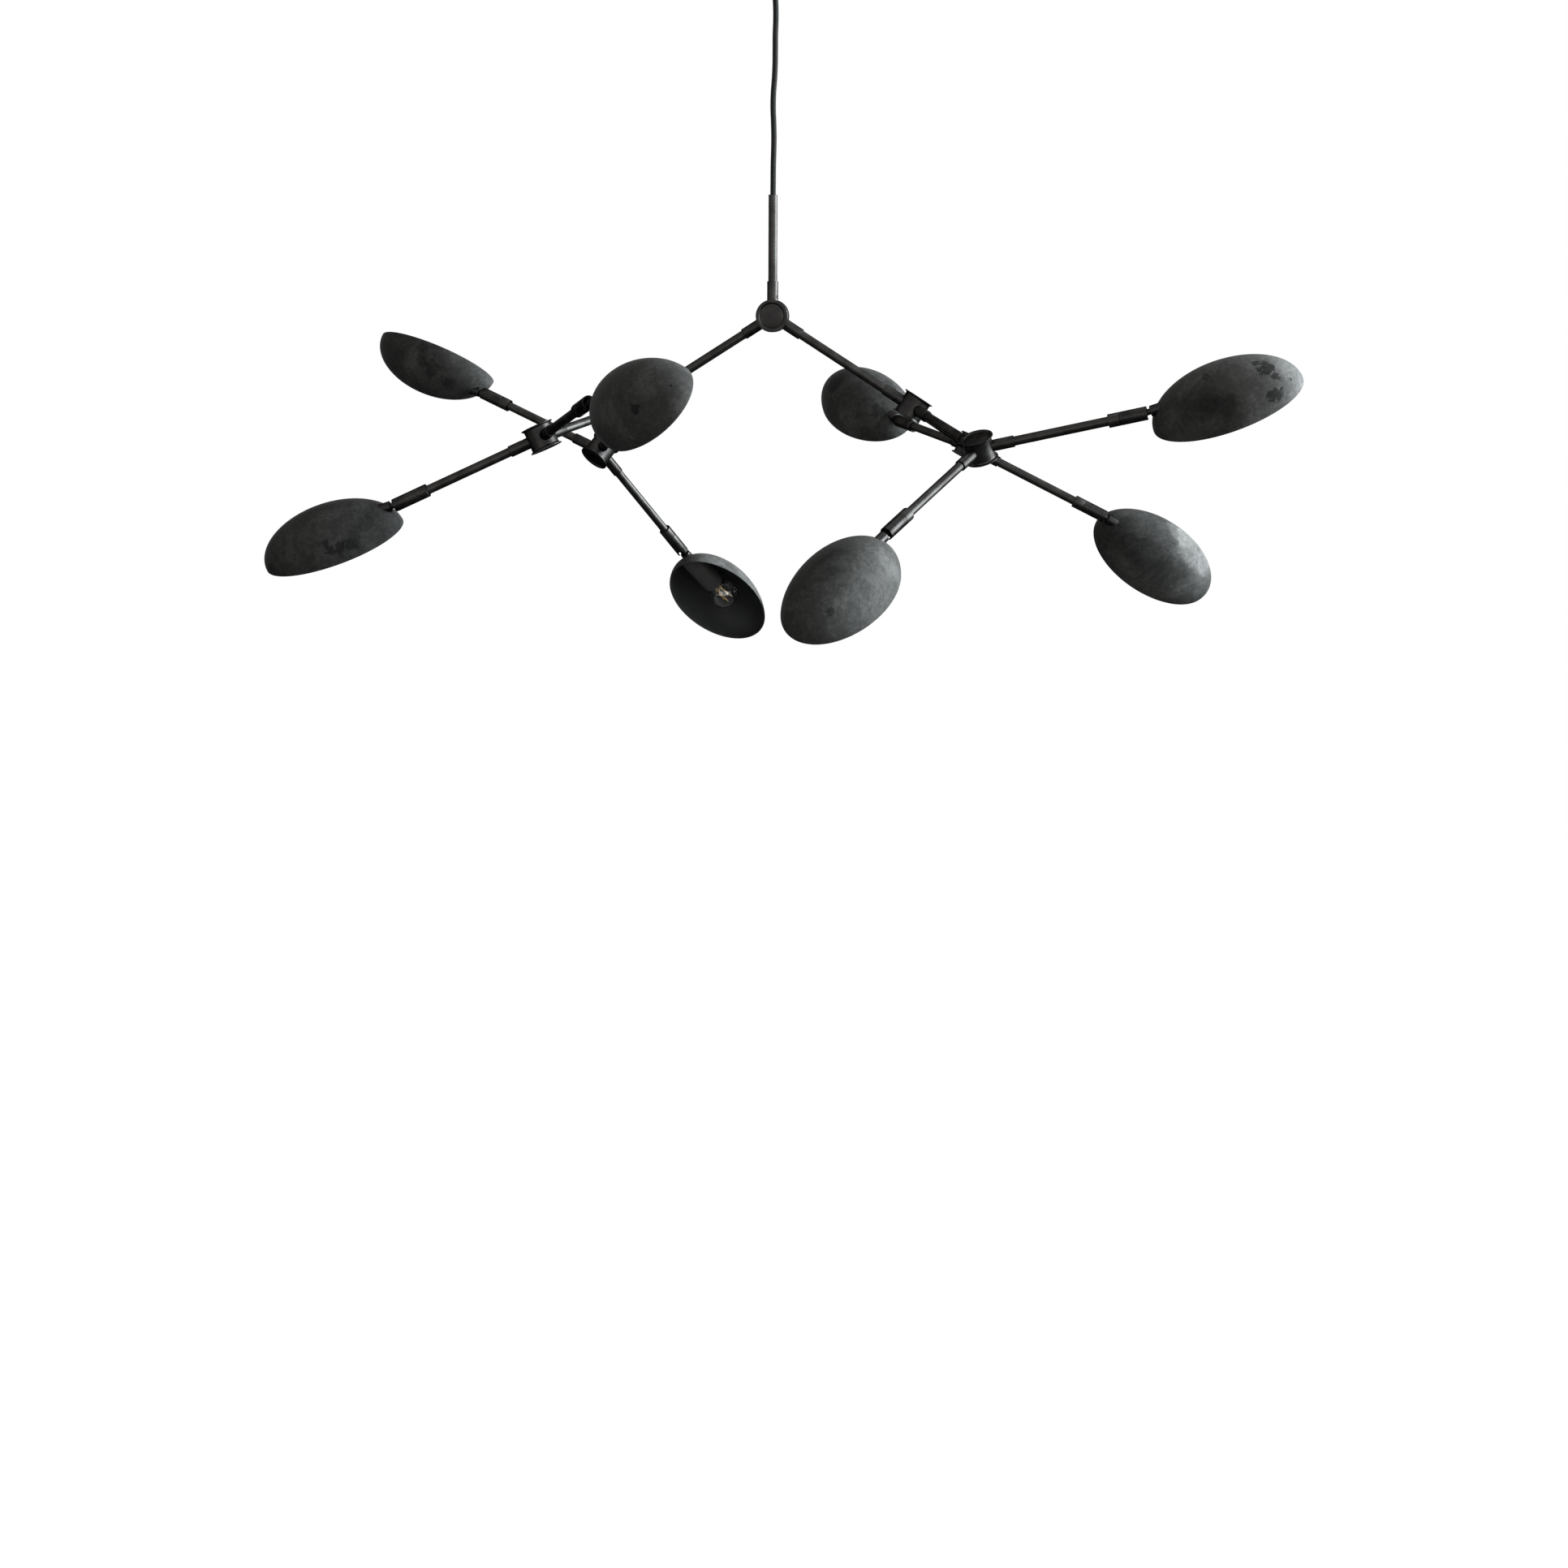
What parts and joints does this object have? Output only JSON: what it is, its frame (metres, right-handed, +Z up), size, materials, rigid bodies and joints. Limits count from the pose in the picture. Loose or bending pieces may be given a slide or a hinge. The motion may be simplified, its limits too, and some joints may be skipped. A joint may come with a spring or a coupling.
{
  "type": "branching ceiling light",
  "caption": "Branching pendant light on a fabric cable: tubes fork at turned hubs and end in tilting, swivelling half-ellipsoid iron shades with globe bulbs.",
  "frame": {"origin": "centre of the ceiling bracket's top face, which lies on the ceiling", "axes": "+Z up towards the ceiling, +X to the right and -Y towards the viewer, with the two main arms in the XZ plane"},
  "size_m": [1.3404, 1.0269, 0.9716],
  "materials": {
    "iron": "dark mottled patina outside, matte black inside",
    "steel": "burnished, blackened",
    "holder": "matte grey",
    "cable": "black braid",
    "grip": "matte black",
    "glass": "clear"
  },
  "bodies": {
    "frame": {"ceiling_bracket": "steel", "ceiling_canopy": "steel", "canopy_cord_grip": "steel", "power_cable": "cable", "stem_cord_grip": "grip", "stem_tube": "steel", "left_main_arm": "steel", "right_main_arm": "steel", "left_front_branch_arm": "steel", "left_back_branch_arm": "steel", "right_front_branch_arm": "steel", "right_back_branch_arm": "steel", "top_hub": "steel", "left_hub": "steel", "right_hub": "steel", "left_front_hub": "steel", "left_back_hub": "steel", "right_front_hub": "steel", "right_back_hub": "steel", "lamp_1_arm": "steel", "lamp_2_arm": "steel", "lamp_3_arm": "steel", "lamp_4_arm": "steel", "lamp_5_arm": "steel", "lamp_6_arm": "steel", "lamp_7_arm": "steel", "lamp_8_arm": "steel"},
    "head_1": {"lamp_1_swivel_barrel": "steel"},
    "shade_1": {"lamp_1_shade": "iron", "lamp_1_lampholder": "holder", "lamp_1_bulb": "glass"},
    "head_2": {"lamp_2_swivel_barrel": "steel"},
    "shade_2": {"lamp_2_shade": "iron", "lamp_2_lampholder": "holder", "lamp_2_bulb": "glass"},
    "head_3": {"lamp_3_swivel_barrel": "steel"},
    "shade_3": {"lamp_3_shade": "iron", "lamp_3_lampholder": "holder", "lamp_3_bulb": "glass"},
    "head_4": {"lamp_4_swivel_barrel": "steel"},
    "shade_4": {"lamp_4_shade": "iron", "lamp_4_lampholder": "holder", "lamp_4_bulb": "glass"},
    "head_5": {"lamp_5_swivel_barrel": "steel"},
    "shade_5": {"lamp_5_shade": "iron", "lamp_5_lampholder": "holder", "lamp_5_bulb": "glass"},
    "head_6": {"lamp_6_swivel_barrel": "steel"},
    "shade_6": {"lamp_6_shade": "iron", "lamp_6_lampholder": "holder", "lamp_6_bulb": "glass"},
    "head_7": {"lamp_7_swivel_barrel": "steel"},
    "shade_7": {"lamp_7_shade": "iron", "lamp_7_lampholder": "holder", "lamp_7_bulb": "glass"},
    "head_8": {"lamp_8_swivel_barrel": "steel"},
    "shade_8": {"lamp_8_shade": "iron", "lamp_8_lampholder": "holder", "lamp_8_bulb": "glass"}
  },
  "joints": [
    {"name": "lamp_1_swivel", "type": "hinge", "parent": "frame", "child": "head_1", "pos_m": [-0.44587, 0.2495, -0.59616], "axis": [-0.8585, 0.3651, 0.36], "range_deg": [-170, 170]},
    {"name": "lamp_1_tilt", "type": "hinge", "parent": "head_1", "child": "shade_1", "pos_m": [-0.44587, 0.2495, -0.59616], "axis": [-0.1708, -0.8656, 0.4706], "range_deg": [-60.7, 12.3]},
    {"name": "lamp_2_swivel", "type": "hinge", "parent": "frame", "child": "head_2", "pos_m": [-0.47902, -0.17, -0.72477], "axis": [-0.9084, 0.0111, -0.418], "range_deg": [-170, 170]},
    {"name": "lamp_2_tilt", "type": "hinge", "parent": "head_2", "child": "shade_2", "pos_m": [-0.47902, -0.17, -0.72477], "axis": [-0.1679, 0.9059, 0.3888], "range_deg": [-61.7, 11.3]},
    {"name": "lamp_3_swivel", "type": "hinge", "parent": "frame", "child": "head_3", "pos_m": [-0.19635, -0.35631, -0.58573], "axis": [0.4294, -0.8707, 0.24], "range_deg": [-170, 170]},
    {"name": "lamp_3_tilt", "type": "hinge", "parent": "head_3", "child": "shade_3", "pos_m": [-0.19635, -0.35631, -0.58573], "axis": [-0.3614, -0.4092, -0.8378], "range_deg": [-41.7, 31.3]},
    {"name": "lamp_4_swivel", "type": "hinge", "parent": "frame", "child": "head_4", "pos_m": [-0.16043, 0.27682, -0.82359], "axis": [0.4923, 0.4944, -0.7164], "range_deg": [-170, 170]},
    {"name": "lamp_4_tilt", "type": "hinge", "parent": "head_4", "child": "shade_4", "pos_m": [-0.16043, 0.27682, -0.82359], "axis": [0.8704, -0.272, 0.4104], "range_deg": [-63.2, 9.8]},
    {"name": "lamp_5_swivel", "type": "hinge", "parent": "frame", "child": "head_5", "pos_m": [0.17214, -0.3281, -0.73936], "axis": [-0.5165, -0.7324, -0.4436], "range_deg": [-170, 170]},
    {"name": "lamp_5_tilt", "type": "hinge", "parent": "head_5", "child": "shade_5", "pos_m": [0.17214, -0.3281, -0.73936], "axis": [-0.8503, 0.3776, 0.3666], "range_deg": [-51.7, 21.3]},
    {"name": "lamp_6_swivel", "type": "hinge", "parent": "frame", "child": "head_6", "pos_m": [0.16453, 0.35407, -0.63467], "axis": [-0.5004, 0.8553, 0.1343], "range_deg": [-170, 170]},
    {"name": "lamp_6_tilt", "type": "hinge", "parent": "head_6", "child": "shade_6", "pos_m": [0.16453, 0.35407, -0.63467], "axis": [0.7735, 0.372, 0.5132], "range_deg": [-70.1, 2.9]},
    {"name": "lamp_7_swivel", "type": "hinge", "parent": "frame", "child": "head_7", "pos_m": [0.4855, -0.20124, -0.59918], "axis": [0.9666, -0.1321, 0.2198], "range_deg": [-170, 170]},
    {"name": "lamp_7_tilt", "type": "hinge", "parent": "head_7", "child": "shade_7", "pos_m": [0.4855, -0.20124, -0.59918], "axis": [0.0076, -0.8421, -0.5393], "range_deg": [-63, 10]},
    {"name": "lamp_8_swivel", "type": "hinge", "parent": "frame", "child": "head_8", "pos_m": [0.4595, 0.17527, -0.75703], "axis": [0.8956, 0.0092, -0.4448], "range_deg": [-170, 170]},
    {"name": "lamp_8_tilt", "type": "hinge", "parent": "head_8", "child": "shade_8", "pos_m": [0.4595, 0.17527, -0.75703], "axis": [-0.3674, -0.5488, -0.7509], "range_deg": [-46.3, 26.7]}
  ]
}
